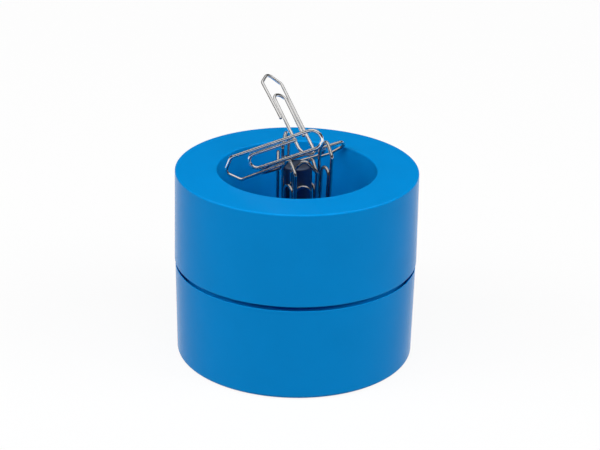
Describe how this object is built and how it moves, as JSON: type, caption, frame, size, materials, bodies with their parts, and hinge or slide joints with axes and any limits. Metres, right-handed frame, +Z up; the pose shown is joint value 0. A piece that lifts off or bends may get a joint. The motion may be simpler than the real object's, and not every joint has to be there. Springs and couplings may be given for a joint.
{
  "type": "magnetic paper clip holder",
  "caption": "Blue round desk drum with a deep well and a magnetic post in its middle that holds loose pointed wire paper clips.",
  "frame": {"origin": "on the table under the centre of the drum", "axes": "+Z up along the drum and its post, -Y towards the front, +X to the right seen from the front"},
  "size_m": [0.073, 0.073, 0.0794],
  "materials": {
    "blue_plastic": "satin moulded",
    "post_metal": "dark nickel plated drawn tube",
    "magnet": "nickel plated",
    "plug_plastic": "matte moulded",
    "pad_rubber": "fine textured",
    "clip_wire": "zinc plated wire"
  },
  "bodies": {
    "holder": {"upper_shell": "blue_plastic", "lower_shell": "blue_plastic", "post_tube": "post_metal", "rod_magnet": "magnet", "magnet_plug": "plug_plastic", "foot_pad": "pad_rubber"},
    "front": {"clip_front": "clip_wire"},
    "front_left": {"clip_front_left": "clip_wire"},
    "right": {"clip_right": "clip_wire"},
    "outer_right": {"clip_outer_right": "clip_wire"},
    "back": {"clip_back": "clip_wire"},
    "back_left": {"clip_back_left": "clip_wire"},
    "crosswise": {"clip_crosswise": "clip_wire"},
    "angled": {"clip_angled": "clip_wire"},
    "leaning": {"clip_leaning": "clip_wire"}
  },
  "joints": [
    {"name": "lift_front", "type": "slide", "parent": "holder", "child": "front", "axis": [0, 0, 1], "range_m": [0, 0.03]},
    {"name": "pull_front_left", "type": "slide", "parent": "holder", "child": "front_left", "axis": [0.4977, -0.8615, 0.0999], "range_m": [0, 0.008]},
    {"name": "pull_right", "type": "slide", "parent": "holder", "child": "right", "axis": [0.3969, -0.8518, 0.3419], "range_m": [0, 0.02]},
    {"name": "lift_outer_right", "type": "slide", "parent": "holder", "child": "outer_right", "axis": [0.0349, 0, 0.9994], "range_m": [0, 0.03]},
    {"name": "pull_back", "type": "slide", "parent": "holder", "child": "back", "axis": [0.433, 0.75, 0.5], "range_m": [0, 0.008]},
    {"name": "lift_back_left", "type": "slide", "parent": "holder", "child": "back_left", "axis": [0, 0, 1], "range_m": [0, 0.008]},
    {"name": "lift_crosswise", "type": "slide", "parent": "holder", "child": "crosswise", "axis": [0, 0, 1], "range_m": [0, 0.03]},
    {"name": "lift_angled", "type": "slide", "parent": "holder", "child": "angled", "axis": [0, -0.7001, 0.7141], "range_m": [0, 0.025]},
    {"name": "pull_leaning", "type": "slide", "parent": "crosswise", "child": "leaning", "axis": [-0.3867, 0.7572, 0.5264], "range_m": [0, 0.03]}
  ]
}
